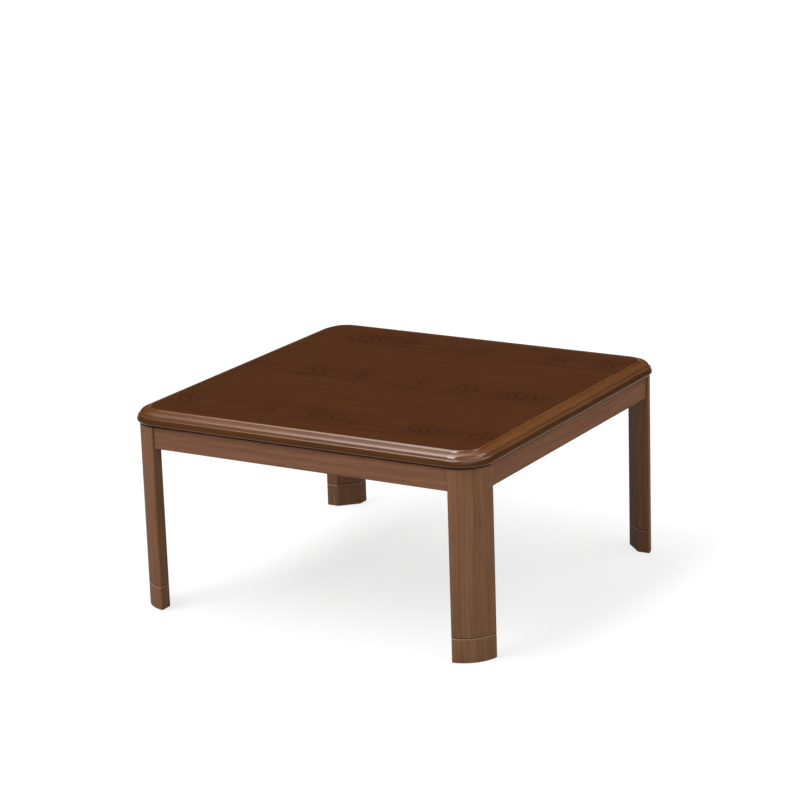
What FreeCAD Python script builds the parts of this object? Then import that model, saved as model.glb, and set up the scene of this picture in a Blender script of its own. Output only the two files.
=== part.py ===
import FreeCAD, Part
import math
import os

# A low, square heated table. Its top board lies loose on a frame of four aprons, the legs are
# bolted into the frame's corners, and a heater unit hangs in the middle under the board.
# Millimetres, +Z up, the front faces -Y, and the origin is on the floor under the middle.

# Driving sizes of the table
table_side = 750.0
table_height = 388.0
top_thickness = 25.0
top_overhang = 2.0
leg_size = 60.0
leg_bulge = 14.5
apron_height = 41.4
apron_thickness = 20.0
apron_setback = 4.6
extension_height = 46.5

# Clearances, and how far a cutter runs past the face that it cuts
overrun = 5.0
same_place = 1e-6
glue_gap = 0.1
lift_fit = 0.08
turn_fit = 0.05

# Top board
moulding_width = 27.0
lip_rise = 1.0
lip_side = 0.4
lip_width = 3.9
lip_step = 3.2
lip_bulge = 0.45
land_width = 8.7
land_fall = 0.9
roll_drop = 10.4
roll_bulge = 1.4
quirk_width = 0.8
shoulder_drop = 11.8
shoulder_inset = 4.8
shoulder_bulge = 0.25
side_drop = 13.2
side_inset = 2.8
side_bulge = 0.35
lower_round = 2.5
tongue_length = 7.0
tongue_thickness = 6.0
veneer_thickness = 0.8
backing_thickness = 0.8

# Frame and legs
pad_thickness = 4.0
pad_radius = 7.0
pad_inset = 150.0
apron_arris = 1.5
leg_seat_margin = 1.0
leg_arris = 1.5
joint_arris = 0.8
foot_round = 1.0
glide_thickness = 1.0
glide_radius = 11.0
dowel_radius = 6.0
dowel_in_leg = 24.0
dowel_in_foot = 20.0
dowel_end_space = 2.0
dowel_arris = 1.0

# Corner brackets, leg bolts and wood screws
bracket_thickness = 2.0
bracket_height = 34.0
bracket_gap = 10.0
bracket_ear = 28.0
bolt_radius = 4.0
bolt_hole_radius = 4.4
bolt_in_leg = 22.0
bolt_tip = 3.0
washer_radius = 9.0
washer_thickness = 1.6
nut_across_flats = 13.0
nut_height = 6.5
wood_screw_radius = 1.8
wood_screw_head_radius = 3.6
wood_screw_head_height = 2.0
bracket_screw_length = 14.0
bracket_screw_spacing = 18.0

# Rails that carry the heater
rail_width = 30.0
rail_height = 22.0
rail_housing_depth = 8.0
rail_screw_bite = 26.0
rail_screw_spacing = 14.0

# Heater housing
heater_side = 280.0
heater_space = 2.0
housing_wall = 1.0
housing_corner = 12.0
housing_top_space = 4.0
housing_depth = 50.0
flange_width = 18.0
flange_screw_inset = 8.0
flange_screw_bite = 16.0
flange_screw_spread = 100.0
vent_radius = 5.0
vent_ring_radius = 32.0
vent_count = 12
control_bay = 38.0

# Heater guard
guard_drop = 6.0
guard_rim = 12.0
guard_thickness = 1.2
guard_fit = 0.3
slot_width = 7.0
slot_bar = 7.0
slot_rib = 10.0
slot_columns = 3
slot_end_share = 0.45
slot_margin = 14.0
guard_screw_radius = 1.5
guard_screw_head_radius = 3.0
guard_screw_head_height = 1.6
guard_screw_length = 5.0
guard_screw_inset = 40.0

# Reflector, tubes and fan
reflector_thickness = 0.8
reflector_drop = 26.0
reflector_slope = 16.0
reflector_lip = 3.5
reflector_top_space = 9.0
reflector_fit = 0.2
fan_opening_radius = 50.0
tube_radius = 6.0
tube_bore_radius = 4.8
tube_grip = 7.0
tube_drop = 20.0
tube_spacing = 150.0
element_radius = 1.2
holder_length = 14.0
holder_width = 20.0
holder_below = 6.0
holder_inset = 6.0
neck_radius = 4.0
neck_height = 6.0
motor_radius = 20.0
motor_height = 21.0
shaft_radius = 2.5
shaft_length = 33.0
hub_radius = 14.0
hub_height = 10.0
blade_reach = 46.0
blade_width = 16.0
blade_thickness = 1.4
blade_root = 2.0
blade_pitch = 32.0
blade_count = 5

# Controls and connections in the heater's control bay
control_drop = 32.0
control_spread = 60.0
thermostat_depth = 22.0
thermostat_width = 28.0
thermostat_height = 20.0
spindle_radius = 3.0
spindle_reach = 9.0
dial_radius = 11.0
dial_length = 11.0
dial_space = 1.2
dial_wall = 2.0
dial_grip_count = 24
dial_grip_radius = 0.8
inlet_depth = 20.0
inlet_width = 30.0
inlet_height = 18.0
inlet_wall = 2.5
inlet_face_width = 36.0
inlet_face_height = 22.0
inlet_face_thickness = 1.5
inlet_cavity_depth = 15.0
pin_radius = 2.0
pin_length = 11.0
pin_spacing = 12.0
terminal_length = 30.0
terminal_width = 28.0
terminal_height = 14.0
fuse_radius = 2.5
fuse_length = 14.0
lead_radius = 1.2
lead_bend = 3.0
lead_run = 8.0
lead_step = 4.0
lead_spacing = 10.0

# Heights and distances that follow from the sizes above
half_side = table_side / 2
frame_half = half_side - top_overhang
top_corner_radius = leg_size + top_overhang
panel_half = half_side - moulding_width
panel_corner_radius = top_corner_radius - moulding_width
top_underside = table_height - top_thickness
veneer_top = table_height - lip_rise
frame_top = top_underside - pad_thickness
apron_bottom = frame_top - apron_height
apron_middle = frame_top - apron_height / 2
apron_seat = apron_setback + apron_thickness
apron_outer = frame_half - apron_setback
apron_inner = frame_half - apron_seat
leg_seat = apron_seat + leg_seat_margin
leg_chamfer = leg_size - leg_seat
leg_crown = leg_size / 2 - leg_bulge / math.sqrt(2)
chamfer_middle = leg_size - leg_chamfer / 2
leg_axis = (leg_crown + chamfer_middle) / 2
plate_line = 2 * chamfer_middle + bracket_gap * math.sqrt(2)
plate_back_line = plate_line + bracket_thickness * math.sqrt(2)
ear_start = plate_line - apron_seat
ear_end = ear_start + bracket_ear
ear_screw_place = (ear_start + ear_end) / 2
heater_half = heater_side / 2
rail_inner = heater_half + heater_space
rail_outer = rail_inner + rail_width
rail_middle = (rail_inner + rail_outer) / 2
rail_bottom = frame_top - rail_height
housing_top = frame_top - housing_top_space
housing_bottom = housing_top - housing_depth
housing_ceiling = housing_top - housing_wall
housing_inner = heater_half - housing_wall
flange_half = heater_half + flange_width
guard_bottom = housing_bottom - guard_drop
guard_rim_top = guard_bottom + guard_rim
bay_wall = housing_inner - control_bay
reflector_middle = (bay_wall - housing_inner) / 2
reflector_half_x = (bay_wall + housing_inner) / 2 - reflector_fit
reflector_half_y = housing_inner - reflector_fit
reflector_top = housing_ceiling - reflector_top_space
reflector_bottom = reflector_top - reflector_drop
tube_height = reflector_top - tube_drop
holder_reach = reflector_half_x - reflector_lip - reflector_slope - holder_inset
control_height = housing_top - control_drop

UP = FreeCAD.Vector(0, 0, 1)
MIDDLE = FreeCAD.Vector(0, 0, 0)
RIGHT = FreeCAD.Vector(1, 0, 0)
BACK = FreeCAD.Vector(0, 1, 0)
CORNERS = ["front_left", "front_right", "back_right", "back_left"]
SIDES = ["front", "right", "back", "left"]
QUARTER_TURN = 90
parts = {}


def at(x, y, z):
    return FreeCAD.Vector(x, y, z)


def turned(shape, quarters):
    """A copy turned about the table's middle by quarter turns."""
    copy = shape.copy()
    copy.rotate(MIDDLE, UP, QUARTER_TURN * quarters)
    return copy


def all_quarters(shape):
    return [turned(shape, quarters) for quarters in range(4)]


def block(low, high):
    """A box between two opposite corners."""
    size = high - low
    return Part.makeBox(size.x, size.y, size.z, low)


def rod(radius, start, direction, length):
    return Part.makeCylinder(radius, length, start, direction)


def edges_along(shape, direction):
    chosen = []
    for edge in shape.Edges:
        straight = edge.Curve.TypeId == "Part::GeomLine"
        if straight and edge.tangentAt(edge.FirstParameter).cross(direction).Length < same_place:
            chosen.append(edge)
    return chosen


def edges_at_height(shape, height):
    return [edge for edge in shape.Edges if max(abs(v.Z - height) for v in edge.Vertexes) < same_place]


def rounded_block(low, high, radius):
    """A box with its four upright edges rounded."""
    shape = block(low, high)
    return shape.makeFillet(radius, edges_along(shape, UP))


def rounded_square(half, radius, low, high):
    """A square prism about the table's middle, with rounded corners."""
    return rounded_block(at(-half, -half, low), at(half, half, high), radius)


def ring_round_corners(section, half, radius):
    """Carry a section, drawn at its distance from the middle, round a rounded square."""
    reach = half - radius
    side = section.copy()
    side.translate(at(0, -reach, 0))
    side = side.extrude(at(0, 2 * reach, 0))
    corner = section.copy()
    corner.translate(at(-reach, 0, 0))
    corner = corner.revolve(MIDDLE, UP, QUARTER_TURN)
    corner.translate(at(reach, reach, 0))
    pieces = all_quarters(side) + all_quarters(corner)
    return pieces[0].multiFuse(pieces[1:]).removeSplitter()


def moulding_section():
    """The edge moulding's section at the right side, from the panel's edge outwards.

    A small lip stands over the panel's edge. Outside it lie a gently falling land, a convex roll,
    a quirk with a soft shoulder below it, and a swelling side that ends in a rounded lower edge.
    """
    inner = panel_half + glue_gap
    tongue_low = (top_underside + veneer_top - tongue_thickness) / 2
    tongue_high = tongue_low + tongue_thickness
    lip_start = at(inner, 0, veneer_top + lip_side)
    lip_crown = at(inner + table_height - lip_start.z, 0, table_height)
    lip_end = at(lip_crown.x + lip_width, 0, table_height - lip_step)
    roll_start = at(lip_end.x + land_width, 0, lip_end.z - land_fall)
    shoulder_start = at(half_side - shoulder_inset, 0, table_height - shoulder_drop)
    quirk = at(shoulder_start.x - quirk_width, 0, shoulder_start.z)
    roll_end = at(quirk.x, 0, table_height - roll_drop)
    side_start = at(half_side - side_inset, 0, table_height - side_drop)
    lower_start = at(half_side, 0, top_underside + lower_round)
    lower_end = at(half_side - lower_round, 0, top_underside)
    before_lip = [
        lower_end,
        at(inner, 0, top_underside),
        at(inner, 0, tongue_low),
        at(inner - tongue_length, 0, tongue_low),
        at(inner - tongue_length, 0, tongue_high),
        at(inner, 0, tongue_high),
        lip_start,
    ]
    edges = [Part.LineSegment(a, b).toShape() for a, b in zip(before_lip, before_lip[1:])]
    edges.append(quarter_arc(lip_start, lip_crown, at(lip_crown.x, 0, lip_start.z)))
    edges.append(bulging_arc(lip_crown, lip_end, lip_bulge))
    edges.append(Part.LineSegment(lip_end, roll_start).toShape())
    edges.append(bulging_arc(roll_start, roll_end, roll_bulge))
    edges.append(Part.LineSegment(roll_end, quirk).toShape())
    edges.append(Part.LineSegment(quirk, shoulder_start).toShape())
    edges.append(bulging_arc(shoulder_start, side_start, shoulder_bulge))
    edges.append(bulging_arc(side_start, lower_start, side_bulge))
    edges.append(quarter_arc(lower_start, lower_end, at(lower_end.x, 0, lower_start.z)))
    return Part.Face(Part.Wire(edges))


def bulging_arc(start, end, bulge):
    """An arc down the outer side of the section that stands out from its chord by the bulge."""
    fall = end - start
    outward = at(-fall.z, 0, fall.x).normalize()
    return Part.Arc(start, (start + end) * 0.5 + outward * bulge, end).toShape()


def quarter_arc(start, end, centre):
    spoke = ((start + end) * 0.5 - centre).normalize()
    return Part.Arc(start, centre + spoke * (start - centre).Length, end).toShape()


def edge_moulding():
    return ring_round_corners(moulding_section(), half_side, top_corner_radius)


def top_core_board():
    low = top_underside + backing_thickness
    high = veneer_top - veneer_thickness
    board = rounded_square(panel_half, panel_corner_radius, low, high)
    groove_half = panel_half - tongue_length
    groove_radius = panel_corner_radius - tongue_length
    groove_low = (top_underside + veneer_top - tongue_thickness) / 2 - glue_gap
    groove_high = groove_low + tongue_thickness + 2 * glue_gap
    outside = rounded_square(panel_half + overrun, panel_corner_radius + overrun, groove_low, groove_high)
    kept = rounded_square(groove_half, groove_radius, groove_low, groove_high)
    return board.cut(outside.cut(kept))


def top_veneer():
    return rounded_square(panel_half, panel_corner_radius, veneer_top - veneer_thickness, veneer_top)


def top_backing_sheet():
    high = top_underside + backing_thickness
    return rounded_square(panel_half, panel_corner_radius, top_underside, high)


def top_pads():
    """Eight thin discs on the aprons that the loose board rests on."""
    middle_line = apron_outer - apron_thickness / 2
    pads = []
    for side in (-1, 1):
        pad = rod(pad_radius, at(side * (frame_half - pad_inset), -middle_line, frame_top), UP, pad_thickness)
        pads += all_quarters(pad)
    return Part.makeCompound(pads)


def at_frame_corner(shape):
    """Move a shape drawn from the frame's outer corner to the front left corner."""
    copy = shape.copy()
    copy.translate(at(-frame_half, -frame_half, 0))
    return copy


def leg_section_prism(low, high):
    """A post with a bulging outer face, chamfered at its inner corner, from the frame's corner."""
    crown = at(leg_crown, leg_crown, low)
    corners = [
        at(leg_size, 0, low),
        at(leg_size, leg_seat, low),
        at(leg_seat, leg_size, low),
        at(0, leg_size, low),
    ]
    edges = [Part.LineSegment(a, b).toShape() for a, b in zip(corners, corners[1:])]
    edges.append(Part.Arc(corners[3], crown, corners[0]).toShape())
    post = Part.Face(Part.Wire(edges)).extrude(at(0, 0, high - low))
    return post.makeFillet(leg_arris, edges_along(post, UP))


def diagonal_rod(radius, start, length):
    """A level rod along the corner's diagonal, from a distance inward of the outer corner."""
    inward = at(1, 1, 0).normalize()
    return rod(radius, at(start, start, apron_middle), inward, length)


def along_diagonal(distance):
    """The shift along each side that a distance along the diagonal gives."""
    return distance / math.sqrt(2)


bolt_start = chamfer_middle - along_diagonal(bolt_in_leg)
plate_back = plate_back_line / 2
nut_start = plate_back + along_diagonal(washer_thickness)
bolt_length = bolt_in_leg + bracket_gap + bracket_thickness + washer_thickness + nut_height + bolt_tip


def leg():
    post = leg_section_prism(extension_height, frame_top)
    ends = edges_at_height(post, extension_height) + edges_at_height(post, frame_top)
    post = post.makeChamfer(joint_arris, ends)
    bolt_hole = diagonal_rod(bolt_radius + glue_gap, bolt_start, bolt_in_leg + overrun)
    dowel_hole = rod(dowel_radius + lift_fit, at(leg_axis, leg_axis, extension_height), UP,
                     dowel_in_leg + dowel_end_space)
    return at_frame_corner(post.cut(bolt_hole).cut(dowel_hole))


def leg_extension():
    post = leg_section_prism(glide_thickness, extension_height)
    post = post.makeChamfer(joint_arris, edges_at_height(post, extension_height))
    post = post.makeFillet(foot_round, edges_at_height(post, glide_thickness))
    bottom = extension_height - dowel_in_foot - dowel_end_space
    dowel_hole = rod(dowel_radius + glue_gap, at(leg_axis, leg_axis, bottom), UP, dowel_in_foot + overrun)
    return at_frame_corner(post.cut(dowel_hole))


def extension_dowel():
    low = extension_height - dowel_in_foot
    high = extension_height + dowel_in_leg
    peg = rod(dowel_radius, at(leg_axis, leg_axis, low), UP, high - low)
    return at_frame_corner(peg.makeChamfer(dowel_arris, edges_at_height(peg, high)))


def foot_glide():
    return at_frame_corner(rod(glide_radius, at(leg_axis, leg_axis, 0), UP, glide_thickness))


def leg_bolt():
    return at_frame_corner(diagonal_rod(bolt_radius, bolt_start, bolt_length))


def leg_washer():
    disc = diagonal_rod(washer_radius, plate_back, washer_thickness)
    hole = diagonal_rod(bolt_radius + glue_gap, plate_back - along_diagonal(overrun), 2 * overrun)
    return at_frame_corner(disc.cut(hole))


def leg_nut():
    """A hexagonal nut on the inner end of the leg bolt."""
    corner_radius = nut_across_flats / math.sqrt(3)
    inward = at(1, 1, 0).normalize()
    rim = [at(corner_radius * math.cos(turn), corner_radius * math.sin(turn), 0)
           for turn in (math.pi / 3 * side for side in range(7))]
    nut = Part.Face(Part.makePolygon(rim)).extrude(at(0, 0, nut_height))
    nut.rotate(MIDDLE, UP.cross(inward), QUARTER_TURN)
    nut.translate(at(nut_start, nut_start, apron_middle))
    hole = diagonal_rod(bolt_radius + glue_gap, nut_start - along_diagonal(overrun), nut_height + 2 * overrun)
    return at_frame_corner(nut.cut(hole))


def wood_screw(start, direction, length, growth=0):
    """A pan-head screw from its seat; growth widens and deepens it into a hole cutter."""
    shank = rod(wood_screw_radius + growth, start, direction, length + growth)
    head_start = start - direction * wood_screw_head_height
    head = rod(wood_screw_head_radius + growth, head_start, direction, wood_screw_head_height)
    return shank.fuse(head)


def bracket_screws(growth=0):
    """Four screws of the front left corner, two in each ear."""
    seat = apron_seat + bracket_thickness
    screws = []
    for side in (-1, 1):
        height = apron_middle + side * bracket_screw_spacing / 2
        length = bracket_thickness + bracket_screw_length
        screws.append(wood_screw(at(ear_screw_place, seat, height), -BACK, length, growth))
        screws.append(wood_screw(at(seat, ear_screw_place, height), -RIGHT, length, growth))
    return [at_frame_corner(screw) for screw in screws]


def corner_bracket():
    """A bent steel plate across the corner, with an ear along each apron."""
    face = apron_seat + bracket_thickness
    bend = plate_back_line - face
    outline = [
        at(apron_seat, ear_end, 0),
        at(apron_seat, ear_start, 0),
        at(ear_start, apron_seat, 0),
        at(ear_end, apron_seat, 0),
        at(ear_end, face, 0),
        at(bend, face, 0),
        at(face, bend, 0),
        at(face, ear_end, 0),
    ]
    plate = Part.Face(Part.makePolygon(outline + outline[:1])).extrude(at(0, 0, bracket_height))
    plate.translate(at(0, 0, apron_middle - bracket_height / 2))
    start = plate_line / 2 - along_diagonal(overrun)
    hole = diagonal_rod(bolt_hole_radius, start, 2 * overrun + bracket_thickness)
    screws = Part.makeCompound(bracket_screws(glue_gap))
    return at_frame_corner(plate.cut(hole)).cut(screws)


def long_rail(side):
    """A rail from the left apron to the right one, housed in both."""
    reach = apron_inner + rail_housing_depth - glue_gap
    near = side * rail_inner
    far = side * rail_outer
    rail = block(at(-reach, min(near, far), rail_bottom), at(reach, max(near, far), frame_top))
    return rail.cut(rail_screw_holes()).cut(flange_screw_holes())


def short_rail(side):
    """A rail between the long ones, beside the heater."""
    near = side * rail_inner
    far = side * rail_outer
    rail = block(at(min(near, far), -rail_inner, rail_bottom), at(max(near, far), rail_inner, frame_top))
    return rail.cut(rail_screw_holes()).cut(flange_screw_holes())


def rail_screws(growth=0):
    """Sunk screws through the long rails into the ends of the short ones."""
    height = frame_top - rail_height / 2
    screws = []
    for along in (-1, 1):
        for across in (-1, 1):
            for pair in (-1, 1):
                x = across * rail_middle + pair * rail_screw_spacing / 2
                start = at(x, along * (rail_outer - wood_screw_head_height), height)
                length = rail_width - wood_screw_head_height + rail_screw_bite
                screws.append(wood_screw(start, BACK * -along, length, growth))
    return Part.makeCompound(screws)


def rail_screw_holes():
    return rail_screws(glue_gap)


def flange_screws(growth=0):
    """Four screws up through the heater's flange, one into each rail."""
    start = at(-flange_screw_spread, -heater_half - flange_screw_inset, rail_bottom - housing_wall)
    return Part.makeCompound(all_quarters(wood_screw(start, UP, housing_wall + flange_screw_bite, growth)))


def flange_screw_holes():
    return flange_screws(glue_gap)


def apron(with_housings):
    """The front apron, or with housings in its inner face one that carries the long rails."""
    reach = frame_half - leg_size
    board = block(at(-reach, -apron_outer, apron_bottom), at(reach, -apron_inner, frame_top))
    board = board.makeFillet(apron_arris, edges_along(board, RIGHT))
    holes = []
    for corner in range(4):
        holes += [turned(screw, corner) for screw in bracket_screws(glue_gap)]
    board = board.cut(Part.makeCompound(holes))
    if with_housings:
        for side in (-1, 1):
            near = side * rail_middle - rail_width / 2 - glue_gap
            low = at(near, -apron_inner - rail_housing_depth, rail_bottom - glue_gap)
            high = at(near + rail_width + 2 * glue_gap, -apron_inner + overrun, frame_top + overrun)
            board = board.cut(block(low, high))
    return board


def heater_housing():
    """A sheet-steel pan, open below, with a flange that hangs it from the rails."""
    shell = rounded_square(heater_half, housing_corner, housing_bottom, housing_top)
    flange = rounded_square(flange_half, housing_corner, rail_bottom - housing_wall, rail_bottom)
    hollow = rounded_square(housing_inner, housing_corner - housing_wall, housing_bottom - overrun,
                            housing_ceiling)
    pan = shell.fuse(flange).cut(hollow)
    cutters = []
    for number in range(vent_count):
        turn = 2 * math.pi * number / vent_count
        x = reflector_middle + vent_ring_radius * math.cos(turn)
        cutters.append(rod(vent_radius, at(x, vent_ring_radius * math.sin(turn), housing_ceiling - overrun),
                           UP, housing_wall + 2 * overrun))
    cutters.append(rod(spindle_radius + glue_gap, at(heater_half - overrun, -control_spread, control_height),
                       RIGHT, 2 * overrun))
    cutters.append(block(at(heater_half - overrun, control_spread - inlet_width / 2 - glue_gap,
                            control_height - inlet_height / 2 - glue_gap),
                         at(heater_half + overrun, control_spread + inlet_width / 2 + glue_gap,
                            control_height + inlet_height / 2 + glue_gap)))
    cutters.append(guard_screws(glue_gap))
    cutters.append(flange_screw_holes())
    return pan.cut(Part.makeCompound(cutters))


def guard_screws(growth=0):
    """Four small screws through the guard's rim into the housing's front and back walls."""
    face = heater_half + guard_fit + guard_thickness
    height = (housing_bottom + guard_rim_top) / 2
    screws = []
    for x_side in (-1, 1):
        for y_side in (-1, 1):
            start = at(x_side * (heater_half - guard_screw_inset), y_side * face, height)
            inward = BACK * -y_side
            shank = rod(guard_screw_radius + growth, start, inward, guard_screw_length)
            head = rod(guard_screw_head_radius + growth, start - inward * guard_screw_head_height, inward,
                       guard_screw_head_height)
            screws.append(shank.fuse(head))
    return Part.makeCompound(screws)


def heater_guard():
    """A shallow tray below the tubes, with rows of slots and a closed strip under the controls."""
    inner = heater_half + guard_fit
    outer = inner + guard_thickness
    tray = rounded_square(outer, housing_corner + guard_fit + guard_thickness, guard_bottom,
                          guard_rim_top)
    hollow = rounded_square(inner, housing_corner + guard_fit, guard_bottom + guard_thickness,
                            guard_rim_top + overrun)
    tray = tray.cut(hollow)
    first_x = -housing_inner + slot_margin
    last_x = bay_wall - slot_margin
    column = (last_x - first_x + slot_rib) / slot_columns
    pitch = slot_width + slot_bar
    rows = int((2 * housing_inner - 2 * slot_margin + slot_bar) / pitch)
    first_y = -(rows * pitch - slot_bar) / 2
    slots = []
    for row in range(rows):
        for number in range(slot_columns):
            low = at(first_x + number * column, first_y + row * pitch, guard_bottom - overrun)
            high = at(low.x + column - slot_rib, low.y + slot_width, guard_bottom + guard_thickness + overrun)
            slots.append(rounded_block(low, high, slot_width * slot_end_share))
    tray = tray.cut(Part.makeCompound(slots))
    return tray.cut(guard_screws(glue_gap))


def tapered_block(half_x_low, half_y_low, half_x_high, half_y_high, low, high):
    """A block about the reflector's middle whose sides slope in towards its top."""
    def outline(half_x, half_y, height):
        corners = [(-half_x, -half_y), (half_x, -half_y), (half_x, half_y), (-half_x, half_y)]
        points = [at(reflector_middle + x, y, height) for x, y in corners]
        return Part.makePolygon(points + points[:1])
    wide = outline(half_x_low, half_y_low, low)
    narrow = outline(half_x_high, half_y_high, high)
    return Part.makeLoft([wide, narrow], True, True)


def reflector():
    """A bright hipped tray over the tubes, with a lip to the housing and a hole for the fan."""
    wide_x = reflector_half_x - reflector_lip
    wide_y = reflector_half_y - reflector_lip
    outside = tapered_block(wide_x, wide_y, wide_x - reflector_slope, wide_y - reflector_slope,
                            reflector_bottom, reflector_top)
    inside = tapered_block(wide_x - reflector_thickness, wide_y - reflector_thickness,
                           wide_x - reflector_slope - reflector_thickness,
                           wide_y - reflector_slope - reflector_thickness,
                           reflector_bottom, reflector_top - reflector_thickness)
    lip = block(at(reflector_middle - reflector_half_x, -reflector_half_y, reflector_bottom),
                at(reflector_middle + reflector_half_x, reflector_half_y,
                   reflector_bottom + reflector_thickness))
    lip = lip.makeFillet(housing_corner - housing_wall, edges_along(lip, UP))
    tray = outside.fuse(lip).cut(inside)
    fan_hole = rod(fan_opening_radius, at(reflector_middle, 0, reflector_top - overrun), UP, 2 * overrun)
    necks = [rod(neck_radius + glue_gap, at(x, y, reflector_top - overrun), UP, 2 * overrun)
             for x, y in holder_places()]
    return tray.cut(fan_hole).cut(Part.makeCompound(necks))


def holder_places():
    """Where the four tube holders hang, as x and y."""
    offset = holder_reach - holder_length / 2
    return [(reflector_middle + x_side * offset, y_side * tube_spacing / 2)
            for y_side in (-1, 1) for x_side in (-1, 1)]


def tube_holders():
    """Ceramic posts that hang through the reflector and grip the tube ends."""
    holders = []
    tubes = Part.makeCompound([quartz_tube_blank(side, tube_radius + glue_gap) for side in (-1, 1)])
    elements = Part.makeCompound([heating_element_blank(side, element_radius + glue_gap) for side in (-1, 1)])
    for x, y in holder_places():
        low = at(x - holder_length / 2, y - holder_width / 2, tube_height - tube_radius - holder_below)
        high = at(x + holder_length / 2, y + holder_width / 2, reflector_top - reflector_thickness)
        body = block(low, high)
        neck = rod(neck_radius, at(x, y, high.z), UP, reflector_thickness + neck_height)
        holders.append(body.fuse(neck).cut(tubes).cut(elements))
    return Part.makeCompound(holders)


def quartz_tube_blank(side, radius):
    half = holder_reach - holder_length + tube_grip
    start = at(reflector_middle - half, side * tube_spacing / 2, tube_height)
    return rod(radius, start, RIGHT, 2 * half)


def quartz_tube(side):
    return quartz_tube_blank(side, tube_radius).cut(quartz_tube_blank(side, tube_bore_radius))


def heating_element_blank(side, radius):
    start = at(reflector_middle - holder_reach, side * tube_spacing / 2, tube_height)
    return rod(radius, start, RIGHT, 2 * holder_reach)


def heating_element(side):
    return heating_element_blank(side, element_radius)


def fan_motor():
    low = housing_ceiling - motor_height
    body = rod(motor_radius, at(reflector_middle, 0, low), UP, motor_height)
    shaft = rod(shaft_radius, at(reflector_middle, 0, housing_ceiling - shaft_length), UP, shaft_length)
    return body.fuse(shaft)


def fan_impeller():
    """A hub with pitched blades round it, running on the motor's shaft."""
    low = housing_ceiling - shaft_length
    centre = at(reflector_middle, 0, low + hub_height / 2)
    wheel = rod(hub_radius, at(reflector_middle, 0, low), UP, hub_height)
    for number in range(blade_count):
        blade = block(at(hub_radius - blade_root, -blade_width / 2, -blade_thickness / 2),
                      at(blade_reach, blade_width / 2, blade_thickness / 2))
        blade.rotate(MIDDLE, RIGHT, blade_pitch)
        blade.rotate(MIDDLE, UP, 360 / blade_count * number)
        blade.translate(centre)
        wheel = wheel.fuse(blade)
    bore = rod(shaft_radius + turn_fit, at(reflector_middle, 0, low - overrun), UP, hub_height + 2 * overrun)
    return wheel.cut(bore)


def thermostat():
    """The switch body inside the housing wall, with the spindle that carries the dial."""
    low = at(housing_inner - thermostat_depth, -control_spread - thermostat_width / 2,
             control_height - thermostat_height / 2)
    high = at(housing_inner, -control_spread + thermostat_width / 2, control_height + thermostat_height / 2)
    spindle = rod(spindle_radius, at(housing_inner, -control_spread, control_height), RIGHT,
                  housing_wall + spindle_reach)
    return block(low, high).fuse(spindle)


def temperature_dial():
    """A grooved cap on the thermostat's spindle, with a pointer groove."""
    start = heater_half + dial_space
    cap = rod(dial_radius, at(start, -control_spread, control_height), RIGHT, dial_length)
    bore = rod(spindle_radius + turn_fit, at(start - overrun, -control_spread, control_height), RIGHT,
               overrun + dial_length - dial_wall)
    grips = []
    for number in range(dial_grip_count):
        turn = 2 * math.pi * number / dial_grip_count
        place = at(start + dial_wall, -control_spread + dial_radius * math.cos(turn),
                   control_height + dial_radius * math.sin(turn))
        grips.append(rod(dial_grip_radius, place, RIGHT, dial_length))
    pointer = block(at(start + dial_length - dial_wall / 2, -control_spread - dial_grip_radius,
                       control_height),
                    at(start + dial_length + overrun, -control_spread + dial_grip_radius,
                       control_height + dial_radius - dial_wall))
    return cap.cut(bore).cut(Part.makeCompound(grips)).cut(pointer)


def power_inlet():
    """A socket block in the housing wall, open outwards, with a face plate round its mouth."""
    middle = at(0, control_spread, control_height)
    body = block(middle + at(heater_half - inlet_depth, -inlet_width / 2, -inlet_height / 2),
                 middle + at(heater_half + inlet_face_thickness, inlet_width / 2, inlet_height / 2))
    face = block(middle + at(heater_half, -inlet_face_width / 2, -inlet_face_height / 2),
                 middle + at(heater_half + inlet_face_thickness, inlet_face_width / 2, inlet_face_height / 2))
    mouth = heater_half + inlet_face_thickness
    cavity = block(middle + at(mouth - inlet_cavity_depth, -inlet_width / 2 + inlet_wall,
                               -inlet_height / 2 + inlet_wall),
                   middle + at(mouth + overrun, inlet_width / 2 - inlet_wall, inlet_height / 2 - inlet_wall))
    return body.fuse(face).cut(cavity)


def inlet_pins():
    """Two round pins that stand on the floor of the inlet's cavity."""
    floor = heater_half + inlet_face_thickness - inlet_cavity_depth
    places = [at(floor, control_spread + side * pin_spacing / 2, control_height) for side in (-1, 1)]
    return Part.makeCompound([rod(pin_radius, place, RIGHT, pin_length) for place in places])


def terminal_block():
    x = (bay_wall + housing_inner) / 2
    return block(at(x - terminal_width / 2, -terminal_length / 2, housing_ceiling - terminal_height),
                 at(x + terminal_width / 2, terminal_length / 2, housing_ceiling))


def thermal_fuse():
    """A small cylinder clipped to the front end of the terminal block."""
    x = (bay_wall + housing_inner) / 2
    start = at(x - fuse_length / 2, -terminal_length / 2 - fuse_radius, housing_ceiling - terminal_height / 2)
    return rod(fuse_radius, start, RIGHT, fuse_length)


def bent_lead(points):
    """A wire through the given points, with an arc at each corner."""
    edges = []
    start = points[0]
    for before, corner, after in zip(points, points[1:], points[2:]):
        incoming = (corner - before).normalize()
        outgoing = (after - corner).normalize()
        arc_start = corner - incoming * lead_bend
        arc_end = corner + outgoing * lead_bend
        centre = arc_start + outgoing * lead_bend
        edges.append(Part.LineSegment(start, arc_start).toShape())
        edges.append(quarter_arc(arc_start, arc_end, centre))
        start = arc_end
    edges.append(Part.LineSegment(start, points[-1]).toShape())
    path = Part.Wire(edges)
    ring = Part.Wire([Part.Circle(points[0], points[1] - points[0], lead_radius).toShape()])
    return path.makePipeShell([ring], True, False)


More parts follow.
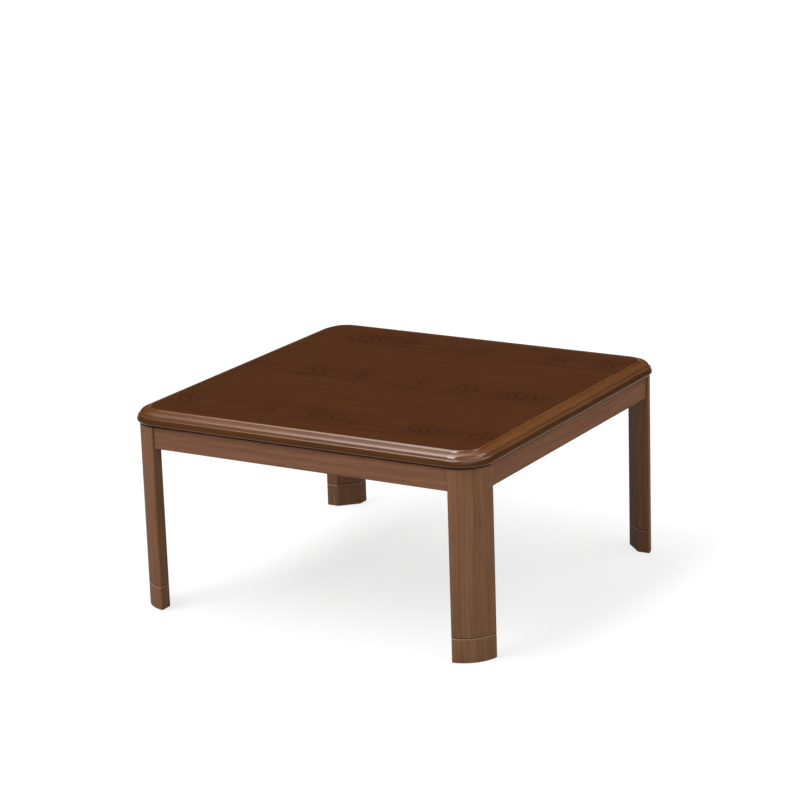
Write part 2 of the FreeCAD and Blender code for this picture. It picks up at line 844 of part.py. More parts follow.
def heater_leads():
    """Internal wires: inlet and thermostat to the terminal block, and from there to the tubes."""
    terminal_x = (bay_wall + housing_inner) / 2
    terminal_low = housing_ceiling - terminal_height
    inlet_back = heater_half - inlet_depth
    leads = []
    for number in (0, 1):
        y = control_spread + (2 * number - 1) * pin_spacing / 2
        x = inlet_back - lead_run - number * lead_step
        y_end = lead_step + number * lead_step
        leads.append(bent_lead([at(inlet_back, y, control_height), at(x, y, control_height),
                                at(x, y_end, control_height), at(x, y_end, terminal_low)]))
    thermostat_back = housing_inner - thermostat_depth
    x = thermostat_back - lead_run
    leads.append(bent_lead([at(thermostat_back, -control_spread, control_height),
                            at(x, -control_spread, control_height), at(x, -lead_step, control_height),
                            at(x, -lead_step, terminal_low)]))
    neck_y = tube_spacing / 2 - neck_radius
    neck_z = reflector_top + neck_height / 2
    near_x = holder_places()[1][0]
    far_x = holder_places()[0][0]
    for side in (-1, 1):
        y = side * lead_spacing / 2
        leads.append(bent_lead([at(terminal_x - terminal_width / 2, y, neck_z), at(near_x, y, neck_z),
                                at(near_x, side * neck_y, neck_z)]))
    leads.append(rod(lead_radius, at(far_x, -neck_y, neck_z), BACK, 2 * neck_y))
    return Part.makeCompound(leads)


def build_top():
    parts["top_core_board"] = top_core_board()
    parts["top_veneer"] = top_veneer()
    parts["top_backing_sheet"] = top_backing_sheet()
    parts["edge_moulding"] = edge_moulding()
    parts["top_pads"] = top_pads()


def build_frame():
    for quarters, side in enumerate(SIDES):
        parts["apron_" + side] = turned(apron(side in ("left", "right")), quarters)
    for name, shape in (("leg", leg()), ("leg_extension", leg_extension()),
                        ("extension_dowel", extension_dowel()), ("foot_glide", foot_glide()),
                        ("corner_bracket", corner_bracket())):
        for quarters, corner in enumerate(CORNERS):
            parts[name + "_" + corner] = turned(shape, quarters)
    parts["leg_bolts"] = Part.makeCompound(all_quarters(leg_bolt()))
    parts["leg_washers"] = Part.makeCompound(all_quarters(leg_washer()))
    parts["leg_nuts"] = Part.makeCompound(all_quarters(leg_nut()))
    screws = []
    for screw in bracket_screws():
        screws += all_quarters(screw)
    parts["bracket_screws"] = Part.makeCompound(screws)
    parts["long_rail_front"] = long_rail(-1)
    parts["long_rail_back"] = long_rail(1)
    parts["short_rail_left"] = short_rail(-1)
    parts["short_rail_right"] = short_rail(1)
    parts["rail_screws"] = rail_screws()


def build_heater():
    parts["heater_housing"] = heater_housing()
    parts["flange_screws"] = flange_screws()
    parts["heater_guard"] = heater_guard()
    parts["guard_screws"] = guard_screws()
    parts["reflector"] = reflector()
    parts["tube_holders"] = tube_holders()
    parts["quartz_tube_front"] = quartz_tube(-1)
    parts["quartz_tube_back"] = quartz_tube(1)
    parts["heating_element_front"] = heating_element(-1)
    parts["heating_element_back"] = heating_element(1)
    parts["fan_motor"] = fan_motor()
    parts["fan_impeller"] = fan_impeller()
    parts["thermostat"] = thermostat()
    parts["temperature_dial"] = temperature_dial()
    parts["power_inlet"] = power_inlet()
    parts["inlet_pins"] = inlet_pins()
    parts["terminal_block"] = terminal_block()
    parts["thermal_fuse"] = thermal_fuse()
    parts["heater_leads"] = heater_leads()


build_top()
build_frame()
build_heater()

os.makedirs("parts", exist_ok=True)
for name, shape in parts.items():
    shape.exportStep("parts/" + name + ".step")
    print(name, len(shape.Solids), shape.isValid(), round(shape.Volume))
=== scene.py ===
import math

import bpy
from mathutils import Matrix, Vector


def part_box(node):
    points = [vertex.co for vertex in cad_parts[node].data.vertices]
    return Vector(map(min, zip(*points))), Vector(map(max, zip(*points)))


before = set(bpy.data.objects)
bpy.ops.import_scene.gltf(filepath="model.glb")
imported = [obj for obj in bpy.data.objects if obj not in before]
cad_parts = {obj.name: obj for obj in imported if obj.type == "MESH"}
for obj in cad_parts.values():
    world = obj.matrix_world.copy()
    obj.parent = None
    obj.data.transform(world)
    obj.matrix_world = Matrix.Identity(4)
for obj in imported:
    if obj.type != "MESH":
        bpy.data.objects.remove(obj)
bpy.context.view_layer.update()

# The camera, from the photograph: angles in degrees, lengths in metres, picture sizes in pixels
PHOTO_SIDE = 800
CAMERA_AZIMUTH = 30.968
CAMERA_ELEVATION = 15.653
CAMERA_ROLL = 1.9
CAMERA_DISTANCE = 5.2863
CAMERA_ASIDE = -0.0052
CAMERA_ABOVE = 0.1663
CAMERA_TARGET_HEIGHT = 0.18
CAMERA_FOCAL_PIXELS = 2748.6
SENSOR_WIDTH = 36.0

# The centres of the top's rounded corners lie over the legs' inner corners. The moulding's
# streaks turn about them.
moulding_low, moulding_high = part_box("edge_moulding")
leg_low, leg_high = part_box("leg_front_left")
CORNER_REACH = moulding_high.x - (leg_high.x - leg_low.x) - (leg_low.x - moulding_low.x)

# Most of a noise's values lie between these
NOISE_SPAN = (0.3, 0.7)


def srgb(red, green, blue):
    """A colour written as 0 to 255 screen values, as linear light."""
    def linear(value):
        share = value / 255
        return share / 12.92 if share <= 0.04045 else ((share + 0.055) / 1.055) ** 2.4
    return (linear(red), linear(green), linear(blue), 1.0)


class Shading:
    """Builds one node tree. Inputs are numbers, colours or other nodes' outputs."""

    def __init__(self, name=None, tree=None):
        if tree is None:
            self.material = bpy.data.materials.new(name)
            self.material.use_nodes = True
            tree = self.material.node_tree
        self.tree = tree
        self.tree.nodes.clear()
        self.place = self.add("ShaderNodeTexCoord", "Object")
        self.x, self.y, self.z = self.split(self.place)

    def add(self, kind, output=0, inputs=None, **settings):
        node = self.tree.nodes.new(kind)
        for name, value in settings.items():
            setattr(node, name, value)
        for key, value in (inputs or {}).items():
            self.plug(node.inputs[key], value)
        return node.outputs[output]

    def plug(self, socket, value):
        if isinstance(value, bpy.types.NodeSocket):
            self.tree.links.new(value, socket)
        else:
            socket.default_value = value

    def split(self, vector):
        node = self.tree.nodes.new("ShaderNodeSeparateXYZ")
        self.tree.links.new(vector, node.inputs[0])
        return node.outputs

    def vector(self, x, y, z):
        return self.add("ShaderNodeCombineXYZ", inputs={0: x, 1: y, 2: z})

    def math(self, operation, first, second=0.0, third=0.0):
        inputs = {0: first, 1: second, 2: third}
        return self.add("ShaderNodeMath", inputs=inputs, operation=operation)

    def times(self, first, second):
        return self.math("MULTIPLY", first, second)

    def plus(self, first, second):
        return self.math("ADD", first, second)

    def between(self, value, low, high, low_out=0.0, high_out=1.0):
        """A smooth step from low_out to high_out as the value goes from low to high."""
        inputs = {"Value": value, "From Min": low, "From Max": high,
                  "To Min": low_out, "To Max": high_out}
        return self.add("ShaderNodeMapRange", inputs=inputs, interpolation_type="SMOOTHSTEP")

    def band(self, value, rise, fall):
        """1 between two borders: a smooth step up over the pair rise, and down over fall."""
        return self.times(self.between(value, *rise), self.between(value, *fall, 1.0, 0.0))

    def noise(self, vector, scale=1.0, detail=2.0, roughness=0.5):
        inputs = {"Vector": vector, "Scale": scale, "Detail": detail, "Roughness": roughness}
        return self.add("ShaderNodeTexNoise", "Fac", inputs=inputs)

    def grain(self, place, length, width, run=1):
        """Streaks of noise of this length and width in metres, long in the first run values of
        the place."""
        sizes = [length] * run + [width] * (len(place) - run)
        scaled = [self.times(value, 1 / size) for value, size in zip(place, sizes)]
        return self.noise(self.vector(*scaled), detail=3.0, roughness=0.6)

    def cells(self, scale):
        """One random value for each cell, with about scale cells for each metre."""
        inputs = {"Vector": self.place, "Scale": scale}
        colour = self.add("ShaderNodeTexVoronoi", "Color", inputs=inputs)
        return self.add("ShaderNodeSeparateColor", inputs={0: colour})

    def mix(self, factor, first, second):
        node = self.tree.nodes.new("ShaderNodeMix")
        node.data_type = "RGBA"
        self.plug(node.inputs["Factor"], factor)
        colour_inputs = [socket for socket in node.inputs if socket.type == "RGBA"]
        for socket, colour in zip(colour_inputs, (first, second)):
            self.plug(socket, colour)
        return [socket for socket in node.outputs if socket.type == "RGBA"][0]

    def tint(self, base, where, strength, colour):
        """The base with a colour over it where the value is 1, with the given strength."""
        return self.mix(self.times(where, strength), base, colour)

    def bump(self, height, strength, distance):
        inputs = {"Height": height, "Strength": strength, "Distance": distance}
        return self.add("ShaderNodeBump", inputs=inputs)

    def finish(self, **inputs):
        """Close the tree with one Principled shader. Names use _ for a space."""
        shader = self.tree.nodes.new("ShaderNodeBsdfPrincipled")
        for name, value in inputs.items():
            self.plug(shader.inputs[name.replace("_", " ")], value)
        output = self.tree.nodes.new("ShaderNodeOutputMaterial")
        self.tree.links.new(shader.outputs[0], output.inputs[0])
        return self.material


# All wood: fine dark threads and pores along the grain. Levels are the noise values between
# which a mark fades in. The pores are sunk and the threads are raised, as shares of the bump.
THREAD_LEVELS = (0.45, 0.75)
THREAD_GLOSS_LEVELS = (0.2, 0.8)
PORE_LEVELS = (0.58, 0.72)
PORE_HEIGHT = -1.0

# The glossy wood of the top has its shine in the coat: the wood under it is rough
UNDERCOAT_ROUGHNESS = (0.45, 0.55)
GLOSSY_THREAD_HEIGHT = 0.4

# The top's veneer: leaves side by side, each with nested arcs down its middle. Every second leaf
# points the other way. Lengths are in metres. Rates count a noise's grains for each metre along
# the leaf, and across it where there are two.
LEAF_WIDTH = 0.262
LEAF_MIDDLE = 0.008
LEAF_SHIFT = 0.61
SWAY_RATE = 5.0
SWAY_WIDTH = 0.03
ARC_SPACING = 0.021
ARC_SLENDERNESS = 48.0
ARC_SHARPNESS = 4.0
ARC_FADE = (0.020, 0.058)
FLOW_RATES = (11.0, 30.0)
FLOW_DEPTH = 0.038
RAGGED_RATES = (60.0, 500.0)
RAGGED_DEPTH = 0.007
CLUMP_RATE = 9.0
CLUMP_SEED = 3.0
CLUMP_LEVELS = (0.44, 0.56)
SHADE_RATES = (7.0, 16.0)
SHADE_LEVELS = (0.45, 0.65)
SHADE_FADE = (0.0, 0.075)
SHADE_AT_SIDES = 0.25


def veneer_material():
    s = Shading("veneer_gloss")
    beside = s.plus(s.y, -LEAF_MIDDLE)
    leaf = s.math("FLOOR", s.plus(s.times(beside, 1 / LEAF_WIDTH), 0.5))
    odd_leaf = s.times(s.math("FRACT", s.times(leaf, 0.5)), 2.0)
    facing = s.plus(s.times(odd_leaf, -2.0), 1.0)
    along = s.times(s.plus(s.x, s.times(leaf, LEAF_SHIFT)), facing)

    def waves(rates, **settings):
        place = s.vector(s.times(along, rates[0]), s.times(s.y, rates[1]), leaf)
        return s.noise(place, **settings)

    sway = s.noise(s.vector(s.times(along, SWAY_RATE), leaf, 0.0), detail=1.0)
    aside = s.math("WRAP", beside, LEAF_WIDTH / 2, -LEAF_WIDTH / 2)
    aside = s.plus(aside, s.plus(s.times(sway, SWAY_WIDTH), -SWAY_WIDTH / 2))
    off_middle = s.math("ABSOLUTE", aside)
    flow = s.times(waves(FLOW_RATES), FLOW_DEPTH)
    ragged = s.times(waves(RAGGED_RATES, detail=3.0, roughness=0.6), RAGGED_DEPTH)
    climb = s.plus(along, s.times(s.times(aside, aside), ARC_SLENDERNESS))
    climb = s.plus(climb, s.plus(flow, ragged))
    arcs = s.math("POWER", s.math("FRACT", s.times(climb, 1 / ARC_SPACING)), ARC_SHARPNESS)
    clumps = s.noise(s.vector(s.times(along, CLUMP_RATE), leaf, CLUMP_SEED))
    figure = s.times(arcs, s.between(off_middle, *ARC_FADE, 1.0, 0.0))
    figure = s.times(figure, s.between(clumps, *CLUMP_LEVELS))
    shade = s.between(waves(SHADE_RATES), *SHADE_LEVELS)
    shade = s.times(shade, s.between(off_middle, *SHADE_FADE, 1.0, SHADE_AT_SIDES))

    place = (along, s.y, 0.0)
    streaks = s.grain(place, length=0.35, width=0.007)
    threads = s.grain(place, length=0.05, width=0.0012)
    pores = s.between(s.grain(place, length=0.012, width=0.0005), *PORE_LEVELS)
    base = s.mix(s.between(streaks, *NOISE_SPAN), srgb(68, 37, 15), srgb(80, 44, 19))
    base = s.tint(base, s.between(threads, *THREAD_LEVELS), 0.4, srgb(61, 32, 14))
    base = s.tint(base, shade, 0.28, srgb(58, 27, 20))
    base = s.tint(base, arcs, 0.14, srgb(52, 26, 15))
    base = s.tint(base, figure, 0.85, srgb(30, 13, 13))
    base = s.tint(base, pores, 0.3, srgb(46, 24, 12))
    height = s.plus(s.times(pores, PORE_HEIGHT), s.times(threads, GLOSSY_THREAD_HEIGHT))
    soft_wave = s.noise(s.place, scale=160.0, detail=1.0)
    return s.finish(
        Base_Color=base, Specular_IOR_Level=0.0,
        Roughness=s.between(threads, *THREAD_GLOSS_LEVELS, *UNDERCOAT_ROUGHNESS),
        Normal=s.bump(height, strength=0.12, distance=0.0004),
        Coat_Weight=1.0, Coat_Roughness=0.06,
        Coat_Normal=s.bump(soft_wave, strength=0.03, distance=0.001))


# The moulding's swelling side has painted shade, darker than its top, and has less coat than it.
# These are the heights over which its look fades in above the lower arris, and out again towards
# the fine step.
SIDE_STARTS = (0.3652, 0.3664)
SIDE_ENDS = (0.3722, 0.3762)
SIDE_PAINTED_SHADE = 0.5
SIDE_COAT_LOSS = 0.88
MOULDING_PORE_LEVELS = (0.6, 0.74)


def moulding_material():
    s = Shading("moulding_gloss")

    def beyond_corner(value):
        return s.math("MAXIMUM", s.plus(s.math("ABSOLUTE", value), -CORNER_REACH), 0.0)

    beyond = (beyond_corner(s.x), beyond_corner(s.y))
    squares = [s.times(value, value) for value in beyond]
    outward = s.math("SQRT", s.plus(*squares))
    place = (s.x, s.y, s.plus(outward, s.z))
    streaks = s.grain(place, length=0.25, width=0.010, run=2)
    threads = s.grain(place, length=0.05, width=0.0016, run=2)
    pores = s.grain(place, length=0.014, width=0.0006, run=2)
    pores = s.between(pores, *MOULDING_PORE_LEVELS)
    shaded_side = s.band(s.z, SIDE_STARTS, SIDE_ENDS)
    base = s.mix(s.between(streaks, *NOISE_SPAN), srgb(87, 52, 24), srgb(106, 65, 31))
    base = s.tint(base, s.between(threads, *THREAD_LEVELS), 0.4, srgb(72, 42, 20))
    base = s.tint(base, pores, 0.3, srgb(48, 28, 14))
    # Painted shade darkens the swelling side below the fine step
    base = s.tint(base, shaded_side, SIDE_PAINTED_SHADE, srgb(58, 37, 26))
    height = s.plus(s.times(pores, PORE_HEIGHT), s.times(threads, GLOSSY_THREAD_HEIGHT))
    return s.finish(
        Base_Color=base, Specular_IOR_Level=0.0,
        Roughness=s.between(threads, *THREAD_GLOSS_LEVELS, *UNDERCOAT_ROUGHNESS),
        Normal=s.bump(height, strength=0.1, distance=0.0004),
        Coat_Weight=s.plus(s.times(shaded_side, -SIDE_COAT_LOSS), 1.0), Coat_Roughness=0.10)


# Boards: the growth rings' lines and how far the grain warps sideways, in metres
RING_SPACING = 0.011
RING_SLANT = 0.6
RING_SHARPNESS = 5.0
WARP_RATES = (4.0, 14.0, 14.0)
WARP_WIDTH = 0.02
BOARD_THREAD_HEIGHT = 0.5
BOARD_ROUGHNESS_SPREAD = 0.12

# The seam between a leg and its extension block, in metres above their joint: a line of painted
# shade in the leg's rounded arris, and a painted highlight, with more coat, in the block's
SEAM_SHADE_STARTS = (0.0, 0.0002)
SEAM_SHADE_ENDS = (0.0014, 0.0024)
SEAM_HIGHLIGHT_STARTS = (-0.0022, -0.0013)
SEAM_HIGHLIGHT_ENDS = (-0.0002, 0.0)
SEAM_COAT_GAIN = 0.75


def board_material(name, axis, colours, coat, rough, seed=0.0, joint=None):
    """Straight-grained wood with its grain along one axis, 0, 1 or 2 for X, Y or Z. Its colours
    are dark, light and the tint of the rings. joint is the height of a seam, if there is one."""
    s = Shading(name)
    dark, light, ring_tint = colours
    axes = (s.x, s.y, s.z)
    along = s.plus(axes[axis], seed)
    across = axes[(axis + 1) % 3]
    aside = axes[(axis + 2) % 3]
    scaled = [s.times(value, rate) for value, rate in zip((along, across, aside), WARP_RATES)]
    bent = s.plus(across, s.times(s.noise(s.vector(*scaled)), WARP_WIDTH))
    place = (along, bent, aside)
    streaks = s.grain(place, length=0.30, width=0.009)
    threads = s.grain(place, length=0.06, width=0.0018)
    pores = s.between(s.grain(place, length=0.016, width=0.0006), *PORE_LEVELS)
    rings = s.math("FRACT", s.times(s.plus(bent, s.times(aside, RING_SLANT)), 1 / RING_SPACING))
    base = s.mix(s.between(streaks, *NOISE_SPAN), dark, light)
    base = s.tint(base, s.math("POWER", rings, RING_SHARPNESS), 0.25, ring_tint)
    base = s.tint(base, s.between(threads, *THREAD_LEVELS), 0.45, ring_tint)
    base = s.tint(base, pores, 0.35, ring_tint)
    if joint is not None:
        def seam_line(starts, ends):
            return s.band(s.z, [joint + rise for rise in starts], [joint + rise for rise in ends])
        # Painted shade in the groove above the joint, and a painted highlight on the block's arris
        # below it
        highlight_line = seam_line(SEAM_HIGHLIGHT_STARTS, SEAM_HIGHLIGHT_ENDS)
        base = s.tint(base, seam_line(SEAM_SHADE_STARTS, SEAM_SHADE_ENDS), 0.75, srgb(66, 41, 25))
        base = s.tint(base, highlight_line, 0.35, srgb(166, 133, 104))
        coat = s.plus(s.times(highlight_line, SEAM_COAT_GAIN), coat)
    height = s.plus(s.times(pores, PORE_HEIGHT), s.times(threads, BOARD_THREAD_HEIGHT))
    roughness = (rough, rough + BOARD_ROUGHNESS_SPREAD)
    return s.finish(
        Base_Color=base, Specular_IOR_Level=0.0,
        Roughness=s.between(threads, *THREAD_GLOSS_LEVELS, *roughness),
        Normal=s.bump(height, strength=0.25, distance=0.0005),
        Coat_Weight=coat, Coat_Roughness=0.3)


def particle_board_material():
    """Raw pressed chips: the core board's edges and underside."""
    s = Shading("particle_board")
    shade = s.cells(420.0)
    base = s.mix(s.between(shade, 0.0, 1.0), srgb(150, 118, 82), srgb(202, 172, 130))
    return s.finish(
        Base_Color=base, Roughness=0.85, Normal=s.bump(shade, strength=0.3, distance=0.0004))


def backing_material():
    """A plain brown paper sheet glued under the board."""
    s = Shading("backing_paper")
    fibre = s.noise(s.place, scale=900.0, detail=4.0, roughness=0.7)
    cloud = s.noise(s.place, scale=9.0)
    base = s.mix(s.between(cloud, *NOISE_SPAN), srgb(112, 84, 62), srgb(124, 95, 71))
    base = s.tint(base, s.between(fibre, 0.4, 0.7), 0.25, srgb(84, 62, 46))
    return s.finish(
        Base_Color=base, Roughness=0.75, Normal=s.bump(fibre, strength=0.1, distance=0.0003))


def zinc_material():
    """Zinc-plated steel: faint crystal patches and a brushed sheen."""
    s = Shading("zinc_steel")
    scratch = s.noise(s.place, scale=1400.0)
    base = s.mix(s.cells(260.0), srgb(168, 166, 152), srgb(196, 195, 186))
    return s.finish(
        Base_Color=base, Metallic=1.0, Roughness=s.between(scratch, *NOISE_SPAN, 0.28, 0.42),
        Normal=s.bump(scratch, strength=0.08, distance=0.0002))


def paint_material(name, dark, light, rough, grain_scale, grain_strength):
    """Baked enamel on sheet steel, with a fine orange-peel texture and dust on it."""
    s = Shading(name)
    peel = s.noise(s.place, scale=grain_scale)
    dust = s.noise(s.place, scale=14.0, detail=3.0)
    base = s.mix(s.between(dust, 0.35, 0.7), dark, light)
    return s.finish(
        Base_Color=base, Roughness=s.between(dust, *NOISE_SPAN, rough, rough + 0.12),
        Normal=s.bump(peel, strength=grain_strength, distance=0.0003))


def bright_metal_material(name, colour, rough):
    """Rolled bright metal with fine roller lines along X."""
    s = Shading(name)
    rolled = s.vector(s.times(s.x, 30.0), s.times(s.y, 2200.0), s.times(s.z, 2200.0))
    lines = s.noise(rolled)
    stain = s.noise(s.place, scale=22.0, detail=3.0)
    base = s.tint(colour, s.between(stain, 0.5, 0.8), 0.3, srgb(150, 140, 120))
    return s.finish(
        Base_Color=base, Metallic=1.0, Roughness=s.between(lines, *NOISE_SPAN, rough, rough + 0.1),
        Normal=s.bump(lines, strength=0.08, distance=0.0002))


def plastic_material(name, dark, light, rough):
    """Moulded plastic with a spark-eroded texture."""
    s = Shading(name)
    spark = s.noise(s.place, scale=2600.0)
    cloud = s.noise(s.place, scale=40.0)
    base = s.mix(s.between(cloud, *NOISE_SPAN), dark, light)
    return s.finish(
        Base_Color=base, Roughness=rough, Normal=s.bump(spark, strength=0.15, distance=0.0002))


def frosted_quartz_material():
    s = Shading("frosted_quartz")
    cloud = s.noise(s.place, scale=300.0, detail=3.0)
    return s.finish(
        Base_Color=srgb(232, 226, 216), Roughness=s.between(cloud, *NOISE_SPAN, 0.3, 0.45),
        Transmission_Weight=0.7, IOR=1.46)


# How brightly the floor glows where it is seen, and its half side in metres
FLOOR_GLOW = 0.74
FLOOR_HALF = 14.0


def white_floor_material():
    """A floor that is seen as white but bounces less light, so that the undersides stay dark."""
    s = Shading("studio_floor")
    seen = s.add("ShaderNodeLightPath", "Is Camera Ray")
    for ray in ("Is Glossy Ray", "Is Transmission Ray"):
        seen = s.math("MAXIMUM", seen, s.add("ShaderNodeLightPath", ray))
    cloud = s.noise(s.place, scale=3.0)
    base = s.mix(cloud, srgb(128, 128, 128), srgb(132, 132, 132))
    return s.finish(
        Base_Color=base, Roughness=0.9, Specular_IOR_Level=0.0,
        Emission_Color=(1.0, 1.0, 1.0, 1.0), Emission_Strength=s.times(seen, FLOOR_GLOW))


def dress(material, *nodes):
    for name in nodes:
        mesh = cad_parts[name].data
        mesh.materials.clear()
        mesh.materials.append(material)


def corners_of(name):
    corners = ("front_left", "front_right", "back_right", "back_left")
    return [name + "_" + corner for corner in corners]


# Sanded arrises: lengths in metres, the angle in degrees from which an edge counts as sharp
ARRIS_WIDTH = 0.0016
ARRIS_SEGMENTS = 3
ARRIS_ANGLE = 40
WELD_DISTANCE = 0.000005


def round_arrises(*nodes):
    """Break the sharp edges of a wooden piece, as sanding does."""
    for name in nodes:
        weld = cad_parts[name].modifiers.new("weld", "WELD")
        weld.merge_threshold = WELD_DISTANCE
        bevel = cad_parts[name].modifiers.new("arris", "BEVEL")
        bevel.width = ARRIS_WIDTH
        bevel.segments = ARRIS_SEGMENTS
        bevel.limit_method = "ANGLE"
        bevel.angle_limit = math.radians(ARRIS_ANGLE)
        bevel.harden_normals = True


# The frame's wood as dark, light and ring tint, and the finishes of lacquered and raw wood
FRONT_COLOURS = (srgb(126, 87, 65), srgb(142, 99, 74), srgb(92, 62, 44))
# The left and right aprons' colours are a darker, redder copy of the front aprons': painted shade
SHADED_SIDE_COLOURS = (srgb(122, 81, 57), srgb(138, 93, 66), srgb(89, 58, 38))
LEG_COLOURS = (srgb(121, 85, 60), srgb(135, 96, 69), srgb(89, 61, 42))
FOOT_COLOURS = (srgb(118, 83, 58), srgb(131, 94, 67), srgb(86, 59, 41))
PALE_COLOURS = (srgb(196, 160, 112), srgb(218, 186, 140), srgb(170, 128, 82))
LACQUERED = {"coat": 0.15, "rough": 0.42}
SAWN = {"coat": 0.0, "rough": 0.6}
TURNED = {"coat": 0.0, "rough": 0.55}
FOOT_SEED = 0.3


def dress_wood():
    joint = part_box("leg_extension_front_left")[1].z
    dress(veneer_material(), "top_veneer")
    dress(moulding_material(), "edge_moulding")
    dress(particle_board_material(), "top_core_board")
    dress(backing_material(), "top_backing_sheet")
    dress(board_material("apron_wood_x", 0, FRONT_COLOURS, **LACQUERED),
          "apron_front", "apron_back")
    dress(board_material("apron_wood_y", 1, SHADED_SIDE_COLOURS, **LACQUERED),
          "apron_left", "apron_right")
    dress(board_material("leg_wood", 2, LEG_COLOURS, **LACQUERED, joint=joint),
          *corners_of("leg"))
    dress(board_material("foot_wood", 2, FOOT_COLOURS, **LACQUERED, seed=FOOT_SEED, joint=joint),
          *corners_of("leg_extension"))
    round_arrises(*corners_of("leg"), *corners_of("leg_extension"))
    dress(board_material("rail_wood_x", 0, PALE_COLOURS, **SAWN),
          "long_rail_front", "long_rail_back")
    dress(board_material("rail_wood_y", 1, PALE_COLOURS, **SAWN),
          "short_rail_left", "short_rail_right")
    dress(board_material("dowel_wood", 2, PALE_COLOURS, **TURNED),
          *corners_of("extension_dowel"))


# Each plastic, rubber or ceramic material: darker and lighter colour, roughness, and its pieces
PLASTICS = {
    "glide_plastic": ((44, 38, 33), (52, 46, 40), 0.5, corners_of("foot_glide")),
    "pad_rubber": ((50, 43, 38), (58, 50, 44), 0.7, ["top_pads"]),
    "holder_ceramic": ((226, 220, 206), (238, 233, 222), 0.3, ["tube_holders"]),
    "element_carbon": ((40, 36, 34), (52, 48, 46), 0.5,
                       ["heating_element_front", "heating_element_back"]),
    "switch_plastic": ((60, 54, 48), (70, 64, 58), 0.45, ["thermostat", "terminal_block"]),
    "dial_plastic": ((160, 156, 146), (172, 168, 158), 0.35, ["temperature_dial"]),
    "inlet_plastic": ((28, 28, 29), (36, 36, 37), 0.4, ["power_inlet"]),
    "lead_sleeve": ((214, 208, 194), (226, 221, 208), 0.6, ["heater_leads"]),
}

# Each bright metal: colour, roughness, and its pieces
BRIGHT_METALS = {
    "reflector_sheet": ((226, 226, 228), 0.12, ["reflector"]),
    "motor_can": ((160, 160, 162), 0.3, ["fan_motor", "thermal_fuse"]),
    "fan_sheet": ((206, 206, 208), 0.25, ["fan_impeller"]),
    "pin_metal": ((212, 184, 120), 0.2, ["inlet_pins"]),
}


def dress_hardware_and_heater():
    dress(zinc_material(), *corners_of("corner_bracket"), "leg_bolts", "leg_washers", "leg_nuts",
          "bracket_screws", "rail_screws", "flange_screws", "guard_screws")
    dress(paint_material("housing_enamel", srgb(58, 58, 60), srgb(68, 68, 70), rough=0.4,
                         grain_scale=700.0, grain_strength=0.15), "heater_housing")
    dress(paint_material("guard_enamel", srgb(34, 32, 31), srgb(44, 42, 40), rough=0.6,
                         grain_scale=1500.0, grain_strength=0.4), "heater_guard")
    dress(frosted_quartz_material(), "quartz_tube_front", "quartz_tube_back")
    for name, (colour, rough, nodes) in BRIGHT_METALS.items():
        dress(bright_metal_material(name, srgb(*colour), rough), *nodes)
    for name, (dark, light, rough, nodes) in PLASTICS.items():
        dress(plastic_material(name, srgb(*dark), srgb(*light), rough), *nodes)


def make_camera():
    """The photograph's viewpoint, as a position and a frame turned by azimuth, elevation, roll."""
    angles = (CAMERA_AZIMUTH, CAMERA_ELEVATION, CAMERA_ROLL)
    azimuth, elevation, roll = (math.radians(angle) for angle in angles)
    back = Vector((math.sin(azimuth) * math.cos(elevation),
                   -math.cos(azimuth) * math.cos(elevation),
                   math.sin(elevation)))
    level_right = Vector((math.cos(azimuth), math.sin(azimuth), 0.0))
    level_up = back.cross(level_right)
    right = level_right * math.cos(roll) - level_up * math.sin(roll)
    up = level_right * math.sin(roll) + level_up * math.cos(roll)
    target = Vector((0.0, 0.0, CAMERA_TARGET_HEIGHT))
    data = bpy.data.cameras.new("camera")
    data.sensor_width = SENSOR_WIDTH
    data.lens = CAMERA_FOCAL_PIXELS / PHOTO_SIDE * SENSOR_WIDTH
    camera = bpy.data.objects.new("camera", data)
    bpy.context.scene.collection.objects.link(camera)
    camera.matrix_world = Matrix((right, up, back)).transposed().to_4x4()
    camera.location = (
        target + right * CAMERA_ASIDE + up * CAMERA_ABOVE + back * CAMERA_DISTANCE)
    bpy.context.scene.camera = camera


def make_floor():
    mesh = bpy.data.meshes.new("floor")
    turns = ((-1, -1), (1, -1), (1, 1), (-1, 1))
    corners = [(x * FLOOR_HALF, y * FLOOR_HALF, 0) for x, y in turns]
    mesh.from_pydata(corners, [], [(0, 1, 2, 3)])
    mesh.materials.append(white_floor_material())
    floor = bpy.data.objects.new("floor", mesh)
    bpy.context.scene.collection.objects.link(floor)


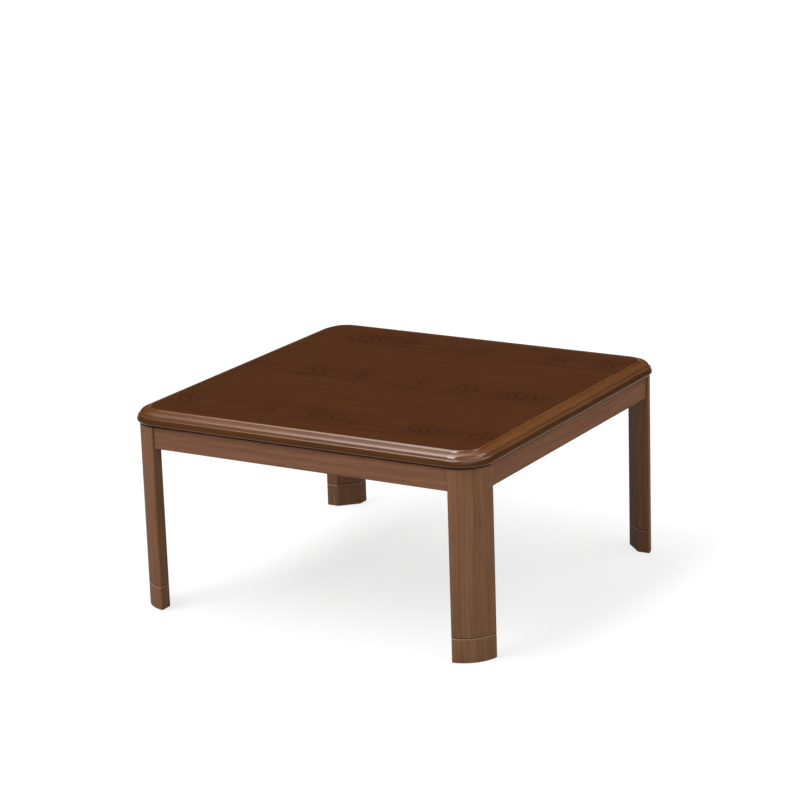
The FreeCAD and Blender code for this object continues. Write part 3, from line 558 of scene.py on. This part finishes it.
# The studio's sky: dark at the horizon and pale overhead, between two heights of a direction of
# length 1, with soft boxes that fade out towards the horizon. A box's place is given by how far
# it lies to +X and +Y of a point straight above, for each metre of height. Its borders fade over
# its edge to both sides. Its strength goes from the first value at its front edge to the second
# at its back edge.
SKY_HEIGHTS = (0.35, 0.95)
SKY_STRENGTHS = (0.02, 0.40)
BOX_HORIZON = (0.1, 0.2)
LEAST_HEIGHT = 0.05
SOFT_BOXES = (
    {"low": (-0.635, -1.05), "high": (-0.18, 0.85), "edge": 0.12, "strength": (14.0, 1.6)},
    {"low": (-1.20, 0.75), "high": (-0.55, 1.70), "edge": 0.15, "strength": (1.1, 0.8)},
    {"low": (0.35, 0.30), "high": (0.85, 0.95), "edge": 0.25, "strength": (4.0, 4.0)},
    {"low": (-1.20, -2.90), "high": (2.20, -1.30), "edge": 0.30, "strength": (1.35, 1.35)},
    {"low": (1.10, -3.00), "high": (2.60, 0.60), "edge": 0.30, "strength": (3.2, 3.2)},
)


def make_sky():
    world = bpy.data.worlds.new("studio")
    bpy.context.scene.world = world
    world.use_nodes = True
    s = Shading(tree=world.node_tree)
    x, y, z = s.split(s.add("ShaderNodeTexCoord", "Generated"))
    height = s.math("MAXIMUM", z, LEAST_HEIGHT)
    place = (s.math("DIVIDE", x, height), s.math("DIVIDE", y, height))
    light = s.between(z, *SKY_HEIGHTS, *SKY_STRENGTHS)
    for box in SOFT_BOXES:
        edge = box["edge"]
        share = s.between(z, *BOX_HORIZON)
        for value, low, high in zip(place, box["low"], box["high"]):
            inside = s.band(value, (low - edge, low + edge), (high - edge, high + edge))
            share = s.times(share, inside)
        strength = s.between(place[1], box["low"][1], box["high"][1], *box["strength"])
        light = s.plus(light, s.times(share, strength))
    inputs = {"Color": (1.0, 1.0, 1.0, 1.0), "Strength": light}
    background = s.add("ShaderNodeBackground", inputs=inputs)
    output = s.tree.nodes.new("ShaderNodeOutputWorld")
    s.tree.links.new(background, output.inputs[0])


make_camera()
make_floor()
make_sky()
dress_wood()
dress_hardware_and_heater()

bpy.context.scene.view_settings.view_transform = "Standard"
